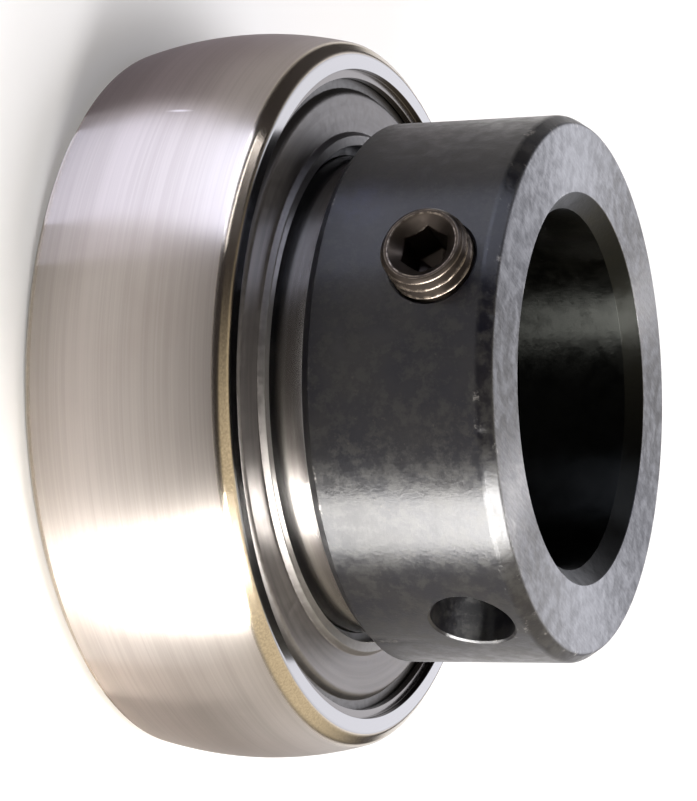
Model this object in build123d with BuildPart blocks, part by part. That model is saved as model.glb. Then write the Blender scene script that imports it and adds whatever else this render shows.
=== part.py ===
from build123d import *
import os
from math import cos, radians, sin, sqrt, tan

# Insert bearing with an eccentric locking collar, for a 25 mm shaft and a 52 mm spherical seat.
# The axis is Z. The back face lies on z = 0 with its centre at the origin, and the collar stands
# at the top with its set screw towards -Y. It is built outwards from the shaft, and forwards from
# the back face.

# Overall sizes, in millimetres, and angles in degrees
bore_d = 25.0                 # bore of the inner ring
ring_width = 15.0             # width of the outer ring
race_wall = 2.761             # from a raceway's floor in to the bore, or out to the sphere: 52 mm across
front_azimuth = -90.0         # where the set screw points, measured from +X
drift_hole_azimuth = -8.0

# Rolling elements
ball_d = 7.938                # 5/16 inch
ball_count = 9
groove_conformity = 0.52      # raceway radius as a share of the ball's diameter
ball_play = 0.02              # radial room between a ball and a raceway
shoulder_from_pitch = 2.25    # from the balls' pitch circle to the shoulder of either ring

# Outer ring
outer_corner = 0.65           # chamfer between the sphere and a side face
ledge_step = 1.0              # radially, from the shoulder to the ledge over the seal groove
seal_groove_undercut = 0.45   # radially, from the ledge to the floor of the seal groove
mouth_step = 0.6              # radially, from the ledge to the opening in the side face
mouth_depth = 0.45
ledge_thickness = 0.5
seal_groove_width = 0.6

# Inner ring
land_stand_out = 2.3          # how far the ground land stands out of the outer ring
land_edge = 0.35
inner_bore_chamfer = 0.8
cam_wall = 2.1                # thinnest wall of the eccentric seat of the collar
cam_length = 4.2
cam_offset = 0.8
cam_azimuth = 90.0
cam_edge = 0.4

# Locking collar
collar_length = 13.5
collar_wall = 2.55            # thinnest wall around the eccentric recess
collar_gap = 0.2              # between the land's shoulder and the collar
collar_bore_play = 0.1        # radial, on the shaft
cam_play = 0.3                # radial, around the eccentric seat when it isn't locked
recess_end_room = 0.3         # past the end of the inner ring
collar_back_chamfer = 0.75
collar_front_chamfer = 0.9
collar_front_drop = 0.6       # how far the front chamfer goes in, radially
collar_round = 0.5
collar_bore_chamfer = 1.1

# Set screw and drift hole
screw_d = 5.9                 # over the threads of an M6
screw_length = 8.0
screw_margin = 0.45           # plain band between the collar's front chamfer and the tapped hole's edge
screw_stand_out = 2.1         # past the outside of the collar, as the photo shows it
screw_edge = 0.35
screw_play = 0.05             # radial, in the tapped hole
screw_hole_edge = 0.25
hex_across_flats = 3.0
hex_depth = 3.5
hex_mouth_d = 4.0
hex_mouth_depth = 0.4
cup_d = 3.0
cup_depth = 0.8
bevel_angle = 45.0            # of the cup point and of the socket's mouth
drift_d = 5.8
drift_depth = 4.0             # to the foot of the drill point
drift_point_angle = 118.0
drift_edge = 0.15

# Cage
cage_width = 2.5              # of the ribbon, radially
cage_sheet = 0.7
pocket_play = 0.1
rivet_d = 1.2
rivet_head_d = 2.3
rivet_head_height = 0.45

# Seals
shield_sheet = 0.4
shield_edge_play = 0.08       # around the shield's edge in its groove
shield_step_room = 0.2        # radially, from the outer ring's shoulder to the foot of the shield's step
shield_step_run = 0.35        # radially, from that foot to the edge of the flat disc
disc_sink = 0.55              # of the disc's face below the side face
rib_room = 0.7                # radially, from the land to the raised inner rib
rib_width = 0.6
rib_run = 0.25                # radially, from the rib's top to its foot on the disc
rib_sink = 0.1                # of the rib's top below the side face
lip_play = 0.03               # radial, on the land
lip_reach = 0.87              # radially, from the lip's edge to its root
lip_bond = 1.6                # radially, of the band that is bonded to the disc
lip_thickness = 0.5
lip_band = 0.2

# Places that follow from those sizes
middle = ring_width / 2
ball_r = ball_d / 2
pitch_r = bore_d / 2 + race_wall + ball_play + ball_r
sphere_r = pitch_r + ball_r + ball_play + race_wall
land_r = pitch_r - shoulder_from_pitch
outer_shoulder_r = pitch_r + shoulder_from_pitch
groove_r = ball_d * groove_conformity
outer_groove_centre = pitch_r + ball_r + ball_play - groove_r
inner_groove_centre = pitch_r - ball_r - ball_play + groove_r
land_end = ring_width + land_stand_out
inner_ring_end = land_end + cam_length
cam_r = bore_d / 2 + cam_offset + cam_wall
recess_r = cam_r + cam_play
recess_end = inner_ring_end + recess_end_room
collar_r = recess_r + cam_offset + collar_wall
collar_back = land_end + collar_gap
collar_front = collar_back + collar_length
collar_bore_r = bore_d / 2 + collar_bore_play
screw_hole_r = screw_d / 2 + screw_play
screw_z = collar_front - collar_front_chamfer - screw_margin - screw_hole_edge - screw_hole_r
screw_end = collar_r + screw_stand_out
pocket_r = ball_r + pocket_play
step_angle = 360 / ball_count

os.makedirs("parts", exist_ok=True)


def at_azimuth(radius, azimuth, height=0.0):
    """The point at a radius, an azimuth from +X and a height."""
    return (radius * cos(radians(azimuth)), radius * sin(radians(azimuth)), height)


def radial_plane(radius, azimuth, height):
    """A plane at that place that faces straight out from the axis, with its x along the tangent."""
    outward = at_azimuth(1, azimuth)
    tangent = at_azimuth(1, azimuth + 90)
    return Plane(origin=at_azimuth(radius, azimuth, height), x_dir=tangent, z_dir=outward)


def half_width(arc_radius, depth):
    """Half the width of an arc's mouth, that far from its centre."""
    return sqrt(arc_radius**2 - depth**2)


# Outer ring: a slice of a ball, with the raceway, two shoulders and a stepped seat for each seal
ring_edge_r = half_width(sphere_r, middle)
outer_mouth = half_width(groove_r, outer_shoulder_r - outer_groove_centre)
ledge_r = outer_shoulder_r + ledge_step
seal_groove_r = ledge_r + seal_groove_undercut
mouth_r = ledge_r + mouth_step
ledge_top = ring_width - mouth_depth
ledge_foot = ledge_top - ledge_thickness
seat_z = ledge_foot - seal_groove_width
with BuildPart() as outer_ring:
    with BuildSketch(Plane.XZ):
        with BuildLine():
            outside = ThreePointArc((ring_edge_r, 0), (sphere_r, middle), (ring_edge_r, ring_width))
            front_steps = Polyline(
                outside @ 1,
                (mouth_r, ring_width),
                (mouth_r, ledge_top),
                (ledge_r, ledge_top),
                (ledge_r, ledge_foot),
                (seal_groove_r, ledge_foot),
                (seal_groove_r, seat_z),
                (outer_shoulder_r, seat_z),
                (outer_shoulder_r, middle + outer_mouth),
            )
            raceway = ThreePointArc(
                front_steps @ 1,
                (outer_groove_centre + groove_r, middle),
                (outer_shoulder_r, middle - outer_mouth),
            )
            Polyline(
                raceway @ 1,
                (outer_shoulder_r, ring_width - seat_z),
                (seal_groove_r, ring_width - seat_z),
                (seal_groove_r, ring_width - ledge_foot),
                (ledge_r, ring_width - ledge_foot),
                (ledge_r, ring_width - ledge_top),
                (mouth_r, ring_width - ledge_top),
                (mouth_r, 0),
                (ring_edge_r, 0),
            )
        section = make_face()
        chamfer(section.vertices().group_by(Axis.X)[-1], outer_corner)
    revolve(axis=Axis.Z)
outer_ring.part.label = "outer_ring"
export_step(outer_ring.part, "parts/outer_ring.step")

# Inner ring: a ground sleeve with the raceway, and an eccentric seat turned on its front end
inner_mouth = half_width(groove_r, inner_groove_centre - land_r)
cam_centre = at_azimuth(cam_offset, cam_azimuth, land_end)
with BuildPart() as inner_ring:
    with BuildSketch(Plane.XZ):
        with BuildLine():
            front_land = Polyline(
                (bore_d / 2, 0),
                (bore_d / 2, land_end),
                (land_r, land_end),
                (land_r, middle + inner_mouth),
            )
            groove = ThreePointArc(
                front_land @ 1,
                (inner_groove_centre - groove_r, middle),
                (land_r, middle - inner_mouth),
            )
            Polyline(groove @ 1, (land_r, 0), (bore_d / 2, 0))
        section = make_face()
        chamfer(section.vertices().group_by(Axis.Y)[-1].sort_by(Axis.X)[-1], land_edge)
        chamfer(section.vertices().group_by(Axis.Y)[0].sort_by(Axis.X)[-1], land_edge)
    revolve(axis=Axis.Z)
    with BuildSketch(Plane.XY.offset(land_end)):
        with Locations(cam_centre[:2]):
            Circle(cam_r)
        Circle(bore_d / 2, mode=Mode.SUBTRACT)
    extrude(amount=cam_length)
    front_rims = inner_ring.edges().filter_by(GeomType.CIRCLE).group_by(Axis.Z)[-1].sort_by(SortBy.RADIUS)
    back_rims = inner_ring.edges().filter_by(GeomType.CIRCLE).group_by(Axis.Z)[0].sort_by(SortBy.RADIUS)
    chamfer([front_rims[0], back_rims[0]], inner_bore_chamfer)
    chamfer(front_rims[-1], cam_edge)
inner_ring.part.label = "inner_ring"
export_step(inner_ring.part, "parts/inner_ring.step")

# Balls, one node each
for number in range(1, ball_count + 1):
    with BuildPart() as ball:
        with Locations(at_azimuth(pitch_r, (number - 1) * step_angle, middle)):
            Sphere(ball_r)
    ball.part.label = f"ball_{number}"
    export_step(ball.part, f"parts/ball_{number}.step")

# Cage: two stamped ribbons, back to back, each a flat ring that arches over every ball
pocket_top = pocket_r + cage_sheet
cage_inner_r = pitch_r - cage_width / 2
cage_outer_r = pitch_r + cage_width / 2
with BuildPart() as cage_front:
    with BuildSketch(Plane.XY.offset(middle)):
        Circle(cage_outer_r)
    extrude(amount=cage_sheet)
    for number in range(ball_count):
        with BuildSketch(radial_plane(0, number * step_angle, middle)):
            Circle(pocket_top)
        extrude(amount=2 * cage_outer_r)
    with BuildSketch(Plane.XY.offset(middle)):
        Circle(cage_outer_r)
        Circle(cage_inner_r, mode=Mode.SUBTRACT)
    extrude(amount=pocket_top + cage_sheet, mode=Mode.INTERSECT)
    for number in range(ball_count):
        with BuildSketch(radial_plane(0, number * step_angle, middle)):
            Circle(pocket_r)
        extrude(amount=2 * cage_outer_r, mode=Mode.SUBTRACT)
    with BuildSketch(Plane.XY.offset(middle)):
        with PolarLocations(pitch_r, ball_count, start_angle=step_angle / 2):
            Circle(rivet_d / 2)
    extrude(amount=cage_sheet, mode=Mode.SUBTRACT)
cage_front.part.label = "cage_front"
export_step(cage_front.part, "parts/cage_front.step")

with BuildPart() as cage_back:
    add(cage_front.part.mirror(Plane.XY.offset(middle)))
cage_back.part.label = "cage_back"
export_step(cage_back.part, "parts/cage_back.step")

# Rivets: a shank through both ribbons and a flat head on each side
with BuildPart() as rivet:
    with BuildSketch(Plane.XZ):
        with BuildLine():
            Polyline(
                (0, 0),
                (rivet_d / 2, 0),
                (rivet_d / 2, cage_sheet),
                (rivet_head_d / 2, cage_sheet),
                (rivet_head_d / 2, cage_sheet + rivet_head_height),
                (0, cage_sheet + rivet_head_height),
                close=True,
            )
        make_face()
    revolve(axis=Axis.Z)
    mirror(about=Plane.XY)
with BuildPart() as cage_rivets:
    with PolarLocations(pitch_r, ball_count, start_angle=step_angle / 2):
        with Locations((0, 0, middle)):
            add(rivet.part)
cage_rivets.part.label = "cage_rivets"
export_step(cage_rivets.part, "parts/cage_rivets.step")

# Seals: a stamped steel shield with a raised inner rib, and a rubber lip bonded under its disc
shield_step_r = outer_shoulder_r + shield_step_room
rib_inner_r = land_r + rib_room
rib_top_r = rib_inner_r + rib_width
disc_top = ring_width - disc_sink
disc_foot = disc_top - shield_sheet
disc_middle = disc_top - shield_sheet / 2
rib_middle = ring_width - rib_sink - shield_sheet / 2
flange_middle = seat_z + shield_edge_play + shield_sheet / 2
with BuildPart() as seal_front_shield:
    with BuildSketch(Plane.XZ):
        with BuildLine():
            Polyline(
                (seal_groove_r - shield_edge_play, flange_middle),
                (shield_step_r, flange_middle),
                (shield_step_r - shield_step_run, disc_middle),
                (rib_top_r + rib_run, disc_middle),
                (rib_top_r, rib_middle),
                (rib_inner_r, rib_middle),
            )
        trace(line_width=shield_sheet)
    revolve(axis=Axis.Z)
seal_front_shield.part.label = "seal_front_shield"
export_step(seal_front_shield.part, "parts/seal_front_shield.step")

lip_edge_r = land_r + lip_play
lip_root_r = lip_edge_r + lip_reach
lip_bond_r = lip_root_r + lip_bond
lip_foot = disc_foot - lip_thickness
with BuildPart() as seal_front_lip:
    with BuildSketch(Plane.XZ):
        with BuildLine():
            Polyline(
                (lip_bond_r, disc_foot),
                (lip_root_r, disc_foot),
                (lip_edge_r, disc_foot),
                (lip_edge_r, disc_foot - lip_band),
                (lip_root_r, lip_foot),
                (lip_bond_r, lip_foot),
                close=True,
            )
        make_face()
    revolve(axis=Axis.Z)
seal_front_lip.part.label = "seal_front_lip"
export_step(seal_front_lip.part, "parts/seal_front_lip.step")

with BuildPart() as seal_back_shield:
    add(seal_front_shield.part.mirror(Plane.XY.offset(middle)))
seal_back_shield.part.label = "seal_back_shield"
export_step(seal_back_shield.part, "parts/seal_back_shield.step")

with BuildPart() as seal_back_lip:
    add(seal_front_lip.part.mirror(Plane.XY.offset(middle)))
seal_back_lip.part.label = "seal_back_lip"
export_step(seal_back_lip.part, "parts/seal_back_lip.step")

# Locking collar: a turned ring with an eccentric recess, a tapped hole and a blind drift hole
drift_floor = collar_r - drift_depth
drift_point = drift_d / 2 / tan(radians(drift_point_angle / 2))


def hole_mouth(ring, azimuth):
    """The edge where the hole at that azimuth meets the ring's outside."""
    return ring.edges().sort_by_distance(at_azimuth(collar_r, azimuth, screw_z))[0]


with BuildPart() as locking_collar:
    with BuildSketch(Plane.XZ):
        with BuildLine():
            Polyline(
                (collar_bore_r, collar_back),
                (collar_r - collar_back_chamfer, collar_back),
                (collar_r, collar_back + collar_back_chamfer),
                (collar_r, collar_front - collar_front_chamfer),
                (collar_r - collar_front_drop, collar_front),
                (collar_bore_r + collar_bore_chamfer, collar_front),
                (collar_bore_r, collar_front - collar_bore_chamfer),
                close=True,
            )
        section = make_face()
        front_corner = section.vertices().group_by(Axis.X)[-1].sort_by(Axis.Y)[-1]
        fillet(front_corner, collar_round)
    revolve(axis=Axis.Z)
    with BuildSketch(Plane.XY.offset(collar_back)):
        with Locations(cam_centre[:2]):
            Circle(recess_r)
    extrude(amount=recess_end - collar_back, mode=Mode.SUBTRACT)
    with BuildSketch(radial_plane(collar_r, front_azimuth, screw_z)):
        Circle(screw_hole_r)
    extrude(amount=-collar_r, mode=Mode.SUBTRACT)
    chamfer(hole_mouth(locking_collar, front_azimuth), screw_hole_edge)
    with BuildSketch(radial_plane(collar_r, drift_hole_azimuth, screw_z)):
        Circle(drift_d / 2)
    extrude(amount=-drift_depth, mode=Mode.SUBTRACT)
    chamfer(hole_mouth(locking_collar, drift_hole_azimuth), drift_edge)
    with Locations(radial_plane(drift_floor, drift_hole_azimuth, screw_z)):
        Cone(0, drift_d / 2, drift_point, align=(Align.CENTER, Align.CENTER, Align.MAX), mode=Mode.SUBTRACT)
locking_collar.part.label = "locking_collar"
export_step(locking_collar.part, "parts/locking_collar.step")

# Set screw: chamfered at both ends, a hexagon socket outside and a cup point inside
screw_tip = screw_end - screw_length
with BuildPart() as set_screw:
    with BuildSketch(radial_plane(screw_tip, front_azimuth, screw_z)):
        Circle(screw_d / 2)
    extrude(amount=screw_length)
    chamfer(set_screw.edges().filter_by(GeomType.CIRCLE), screw_edge)
    with BuildSketch(radial_plane(screw_end, front_azimuth, screw_z)):
        RegularPolygon(hex_across_flats / 2, 6, major_radius=False)
    extrude(amount=-hex_depth, mode=Mode.SUBTRACT)
    with BuildSketch(radial_plane(screw_end, front_azimuth, screw_z)):
        Circle(hex_mouth_d / 2)
    extrude(amount=-hex_mouth_depth, taper=bevel_angle, mode=Mode.SUBTRACT)
    with BuildSketch(radial_plane(screw_tip, front_azimuth, screw_z)):
        Circle(cup_d / 2)
    extrude(amount=cup_depth, taper=bevel_angle, mode=Mode.SUBTRACT)
set_screw.part.label = "set_screw"
export_step(set_screw.part, "parts/set_screw.step")
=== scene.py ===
"""The looks of an insert bearing with an eccentric locking collar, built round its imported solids.

Everything is in metres. The axis is Z, the back face lies on z = 0 and the set screw points to -Y.
A turned piece is an outline carried round the axis: a closed loop of (radius, height) corners with
the metal on its left, so that its faces point outwards. A hole is a strip of rings that starts at
the border of a block of the turned grid and runs down the hole."""

import math

import bpy
import numpy as np
from mathutils import Matrix, Vector


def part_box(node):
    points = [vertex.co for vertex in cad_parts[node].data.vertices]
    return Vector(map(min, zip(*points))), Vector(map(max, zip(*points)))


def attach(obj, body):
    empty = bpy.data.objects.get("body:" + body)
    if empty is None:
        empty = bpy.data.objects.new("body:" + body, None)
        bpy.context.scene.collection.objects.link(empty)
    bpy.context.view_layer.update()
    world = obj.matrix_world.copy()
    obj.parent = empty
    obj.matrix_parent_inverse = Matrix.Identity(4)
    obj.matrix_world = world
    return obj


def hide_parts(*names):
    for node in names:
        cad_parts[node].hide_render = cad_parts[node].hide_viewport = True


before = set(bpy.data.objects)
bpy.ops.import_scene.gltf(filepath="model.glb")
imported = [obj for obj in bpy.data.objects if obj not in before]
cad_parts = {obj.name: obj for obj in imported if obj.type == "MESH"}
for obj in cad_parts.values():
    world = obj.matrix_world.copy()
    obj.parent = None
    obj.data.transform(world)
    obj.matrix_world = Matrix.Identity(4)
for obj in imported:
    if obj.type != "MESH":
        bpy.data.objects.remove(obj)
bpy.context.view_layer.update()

MM = 0.001

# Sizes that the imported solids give
ring_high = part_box("outer_ring")[1]
inner_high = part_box("inner_ring")[1]
collar_low, collar_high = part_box("locking_collar")
screw_low, screw_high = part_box("set_screw")
sphere_r, ring_width = ring_high.x, ring_high.z
middle = ring_width / 2
land_r, inner_ring_end = inner_high.x, inner_high.z
collar_r, collar_back, collar_front = collar_high.x, collar_low.z, collar_high.z
screw_r, screw_end, screw_tip = screw_high.x, -screw_low.y, -screw_high.y
screw_z = (screw_low.z + screw_high.z) / 2

# Rings, the balls between them and the eccentric seat for the collar
bore_r = 12.5 * MM
ball_d = 7.938 * MM
pitch_r = 19.25 * MM
ball_clearance = 0.02 * MM
raceway_r = 0.52 * ball_d
outer_raceway_centre = pitch_r + ball_d / 2 + ball_clearance - raceway_r
inner_raceway_centre = pitch_r - ball_d / 2 - ball_clearance + raceway_r
outer_shoulder_r = 21.5 * MM
ledge_r = 22.5 * MM
seal_groove_r = 22.95 * MM
mouth_r = 23.1 * MM
ledge_top = ring_width - 0.45 * MM
ledge_foot = ledge_top - 0.5 * MM
seat_z = ledge_foot - 0.6 * MM
outer_corner = 0.65 * MM
outer_round = 0.85 * MM
land_end = 17.3 * MM
land_edge = 0.35 * MM
inner_bore_chamfer = 0.8 * MM
eccentric_r = 15.4 * MM
eccentric_edge = 0.4 * MM
eccentric_offset = 0.8 * MM

# Locking collar, with a tapped hole for the screw and a blind hole for a drift
collar_bore_r = 12.6 * MM
recess_r = 15.7 * MM
recess_end = 21.8 * MM
collar_back_chamfer = 0.75 * MM
collar_front_chamfer = 0.9 * MM
collar_front_drop = 0.6 * MM
collar_round = 0.7 * MM
collar_bore_chamfer = 1.1 * MM
screw_azimuth = -90
screw_hole_r = 3.0 * MM
screw_hole_edge = 0.15 * MM
drift_azimuth = -8
drift_r = 2.9 * MM
drift_edge = 0.15 * MM
drift_depth = 4.0 * MM
drift_point = 1.74 * MM

# Set screw and its thread
thread_pitch = 1.0 * MM
thread_depth = 0.5 * MM
thread_start = 0.1 * thread_pitch
thread_run_in = 0.5 * thread_pitch
thread_crest = 0.3 * thread_depth
tapped_depth = 0.6 * thread_depth
screw_edge = 0.35 * MM
hex_half = 1.5 * MM
hex_depth = 3.5 * MM
hex_mouth_r = 2.35 * MM
hex_mouth_worn = 0.1 * MM
hex_point = 0.6 * MM
cup_r = 1.5 * MM
cup_depth = 0.8 * MM

# Seals
shield_sheet = 0.4 * MM
shield_edge_r = 22.87 * MM
shield_step_r = 21.7 * MM
shield_disc_r = 21.35 * MM
shield_roll = 0.45 * MM
rib_foot_r = 18.55 * MM
rib_top_r = 18.3 * MM
rib_inner_r = 17.7 * MM
flange_middle = seat_z + 0.28 * MM
disc_middle = ring_width - 0.75 * MM
rib_middle = ring_width - 0.3 * MM
lip_edge_r = 17.03 * MM
lip_root_r = 17.9 * MM
lip_bond_r = 19.5 * MM
lip_top = ring_width - 0.95 * MM
lip_band = 0.2 * MM
lip_thickness = 0.5 * MM

# How finely the surfaces are worked out
round_steps = 360
arc_steps = 5
sphere_steps = 25
raceway_steps = 17
thread_steps = 12
tapped_turns = 5
drift_rings = 8
screw_columns = 144

# Easing of edges, the flat kept beside each, and how much of a side of an outline a corner may take
crisp = 0.05 * MM
soft = 0.12 * MM
support = 0.15 * MM
corner_room = 0.45
least_flat = 1.1

# The blocks of the collar's grid that the holes are cut in. Both ends of the tapped hole have as many
# corners round them.
block_half = 3.4 * MM
outside_columns = 12
outside_rows = 22
bore_columns = 17
bore_rows = outside_rows + 2 * (outside_columns - bore_columns)
patch_rings = 3


def unit(vectors):
    """Vectors divided by their length."""
    return vectors / np.maximum(np.linalg.norm(vectors, axis=-1, keepdims=True), 1e-12)


def left_of(directions):
    """Directions in a plane, turned a quarter to the left."""
    return np.stack([-directions[..., 1], directions[..., 0]], -1)


def arc(centre_r, centre_z, radius, start, end, steps):
    """Points (centre + radius cos a, centre + radius sin a) of an outline, for a from start to end."""
    a = np.linspace(start, end, steps)
    return np.stack([centre_r + radius * np.cos(a), centre_z + radius * np.sin(a)], 1)


def outline(*stretches):
    """Joins corners and arcs into one outline, and gives each corner its easing. A stretch is a list
    of (radius, height, easing), or an arc's points, which need none."""
    parts = [np.asarray(stretch, float) for stretch in stretches]
    corners = np.concatenate([part[:, :2] for part in parts])
    easing = np.concatenate([part[:, 2] if part.shape[1] == 3 else np.zeros(len(part)) for part in parts])
    return corners, easing


def flipped(corners, easing):
    """The same outline for the other side of the bearing: mirrored in the middle plane and reversed."""
    return (corners * (1, -1) + (0, ring_width))[::-1], easing[::-1]


def eased(corners, easing):
    """Rounds the corners of a closed outline. Where the heading turns by t, an arc of radius e starts
    e tan(t / 2) before the corner, and its centre lies to the side that it turns to. A point goes in
    a little before and after each arc, so that the faces between arcs stay flat. Gives the points,
    their normals, 1 where an edge stands out, and the corner that each came from."""
    easing = easing[:, None]
    after = np.roll(corners, -1, 0) - corners
    room_after = corner_room * np.linalg.norm(after, axis=1)[:, None]
    after = unit(after)
    before, room_before = np.roll(after, 1, 0), np.roll(room_after, 1, 0)
    turn = np.arctan2(np.sum(left_of(before) * after, 1), np.sum(before * after, 1))[:, None]
    reach = easing * np.tan(np.abs(turn) / 2)
    side = np.sign(turn)
    centre = corners - before * reach + side * easing * left_of(before)
    heading = np.arctan2(before[:, 1:], before[:, :1]) + turn * np.linspace(0, 1, arc_steps)
    heading = np.stack([np.cos(heading), np.sin(heading)], -1)
    bend = centre[:, None] - (side * easing)[:, None] * left_of(heading)
    lead = np.minimum(reach + support, room_before)
    trail = np.minimum(reach + support, room_after)
    start, end = (corners - before * lead)[:, None], (corners + after * trail)[:, None]
    points = np.concatenate([start, bend, end], 1)
    heading = np.concatenate([before[:, None], heading, after[:, None]], 1)
    rounded = easing > 0
    keep = np.repeat(rounded, arc_steps + 2, 1)
    keep[:, :1] &= lead > least_flat * reach
    keep[:, -1:] &= trail > least_flat * reach
    keep[:, 1 + arc_steps // 2] = True
    edge = np.zeros(keep.shape)
    edge[:, 1:-1] = (turn > 0) & rounded
    source = np.repeat(np.arange(len(corners))[:, None], arc_steps + 2, 1)
    return points[keep], -left_of(heading)[keep], edge[keep], source[keep]


def turned(corners, easing, offset=0.0):
    """Carries an eased outline round the axis: a point (r, z) at azimuth a goes to
    (r cos a, offset + r sin a, z), and its normal turns with it."""
    points, normals, edge, source = eased(corners, easing)
    shift = np.broadcast_to(np.asarray(offset, float), len(corners))[source][:, None]
    a = np.linspace(0, 2 * math.pi, round_steps, endpoint=False)
    flat = np.ones(round_steps)
    radius, height = points[:, :1], points[:, 1:]
    place = np.stack([radius * np.cos(a), shift + radius * np.sin(a), height * flat], -1)
    facing = np.stack([normals[:, :1] * np.cos(a), normals[:, :1] * np.sin(a), normals[:, 1:] * flat], -1)
    return place, facing, edge[:, None] * flat


def strip_facing(place):
    """Normals of a strip of rings: the way round crossed with the way along, by differences."""
    around = np.roll(place, -1, 1) - np.roll(place, 1, 1)
    return unit(np.cross(around, np.gradient(place, axis=0)))


class Skin:
    """The points, normals, wear and faces of one piece, gathered grid by grid."""

    def __init__(self):
        self.points, self.normals, self.wear, self.faces = [], [], [], []
        self.count = 0

    def add(self, place, facing, wear):
        """Adds a grid of points and returns their numbers, in the grid's shape."""
        self.points.append(place.reshape(-1, 3))
        self.normals.append(facing.reshape(-1, 3))
        self.wear.append(np.broadcast_to(wear, place.shape[:-1]).ravel())
        numbers = self.count + np.arange(self.points[-1].shape[0]).reshape(place.shape[:-1])
        self.count += numbers.size
        return numbers

    def join(self, numbers, keep=True):
        """Faces between neighbouring rings of a strip. Its rings close."""
        beside = np.roll(numbers, -1, 1)
        quads = np.stack([numbers[:-1], beside[:-1], beside[1:], numbers[1:]], -1)
        self.faces += quads[np.broadcast_to(keep, quads.shape[:2])].tolist()

    def close(self, ring, tip):
        """Triangles from a ring to the tip that it closes on."""
        self.faces += np.stack([ring, np.roll(ring, -1), np.full_like(ring, tip)], -1).tolist()

    def piece(self, name, material, body, slot):
        """Makes the piece, which stands for the node of its own name, and ties it to the frame."""
        mesh = bpy.data.meshes.new(name)
        mesh.from_pydata(np.concatenate(self.points).tolist(), [], self.faces)
        mesh.shade_smooth()
        mesh.normals_split_custom_set_from_vertices(unit(np.concatenate(self.normals)).tolist())
        wear = mesh.attributes.new("wear", "FLOAT", "POINT")
        wear.data.foreach_set("value", np.concatenate(self.wear).astype(np.float32))
        mesh.materials.append(material)
        piece = bpy.data.objects.new(f"{name}_finished", mesh)
        bpy.context.scene.collection.objects.link(piece)
        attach(piece, body)
        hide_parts(name)


def turned_piece(name, material, body, slot, shape, offset=0.0):
    """A turned piece with nothing cut in it. Its shape is an outline's corners and easing."""
    skin = Skin()
    numbers = skin.add(*turned(*shape, offset))
    skin.join(np.concatenate([numbers, numbers[:1]]))
    skin.piece(name, material, body, slot)


# Outlines of the turned pieces

def outer_ring_outline():
    """A slice of a ball with its corners taken off, a stepped seal seat on each side and the
    raceway."""
    side_angle = math.asin(middle / sphere_r)
    side_r = sphere_r * math.cos(side_angle) - outer_corner
    ball_angle = side_angle - outer_corner / sphere_r
    race_angle = math.acos((outer_shoulder_r - outer_raceway_centre) / raceway_r)
    steps = outline([
        (side_r, ring_width, outer_round),
        (mouth_r, ring_width, crisp),
        (mouth_r, ledge_top, crisp),
        (ledge_r, ledge_top, crisp),
        (ledge_r, ledge_foot, crisp),
        (seal_groove_r, ledge_foot, crisp),
        (seal_groove_r, seat_z, crisp),
        (outer_shoulder_r, seat_z, crisp),
    ])
    back_steps = flipped(*steps)
    sphere = arc(0, middle, sphere_r, -ball_angle, ball_angle, sphere_steps)
    race = arc(outer_raceway_centre, middle, raceway_r, race_angle, -race_angle, raceway_steps)
    corners = np.concatenate([sphere, steps[0], race, back_steps[0]])
    easing = np.concatenate([np.zeros(len(sphere)), steps[1], np.zeros(len(race)), back_steps[1]])
    # The ball's own ends are rounded towards the corners beside them
    easing[[0, len(sphere) - 1]] = outer_round
    return corners, easing


def inner_ring_outline():
    """A ground sleeve with the raceway, and the eccentric seat that is turned on its front end. Also
    gives how far each corner's circle lies off the axis."""
    race_angle = math.acos((inner_raceway_centre - land_r) / raceway_r)
    low, high = math.pi + race_angle, math.pi - race_angle
    back = [
        (bore_r, inner_bore_chamfer, soft),
        (bore_r + inner_bore_chamfer, 0, soft),
        (land_r - land_edge, 0, crisp),
        (land_r, land_edge, crisp),
    ]
    race = arc(inner_raceway_centre, middle, raceway_r, low, high, raceway_steps)
    land = [(land_r, land_end - land_edge, crisp), (land_r - land_edge, land_end, crisp)]
    seat = [
        (eccentric_r, land_end, crisp),
        (eccentric_r, inner_ring_end - eccentric_edge, crisp),
        (eccentric_r - eccentric_edge, inner_ring_end, crisp),
    ]
    front = [
        (bore_r + inner_bore_chamfer, inner_ring_end, soft),
        (bore_r, inner_ring_end - inner_bore_chamfer, soft),
    ]
    offset = np.zeros(len(back) + len(race) + len(land) + len(seat) + len(front))
    offset[-len(seat) - len(front):-len(front)] = eccentric_offset
    return outline(back, race, land, seat, front), offset


def shield_outline():
    """The centre line of the stamped sheet, set off to both sides by half its thickness. At a bend of
    angle t the corner lies at that half thickness divided by cos(t / 2)."""
    line = np.array([
        (shield_edge_r, flange_middle),
        (shield_step_r, flange_middle),
        (shield_disc_r, disc_middle),
        (rib_foot_r, disc_middle),
        (rib_top_r, rib_middle),
        (rib_inner_r, rib_middle),
    ])
    run = unit(np.diff(line, axis=0))
    before, after = np.concatenate([run[:1], run]), np.concatenate([run, run[-1:]])
    mitre = left_of(unit(before + after)) / np.linalg.norm((before + after) / 2, axis=1)[:, None]
    step = mitre * shield_sheet / 2
    corners = np.concatenate([line - step, (line + step)[::-1]])
    easing = np.full(len(corners), soft)
    easing[[0, len(line) - 1, len(line), -1]] = crisp
    easing[2] = shield_roll
    return corners, easing


def lip_outline():
    """The rubber under the shield's disc, which thins to the lip's edge on the land."""
    return outline([
        (lip_edge_r, lip_top - lip_band, crisp),
        (lip_root_r, lip_top - lip_thickness, soft),
        (lip_bond_r, lip_top - lip_thickness, soft),
        (lip_bond_r, lip_top, crisp),
        (lip_edge_r, lip_top, crisp),
    ])


# The locking collar and its holes

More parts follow.
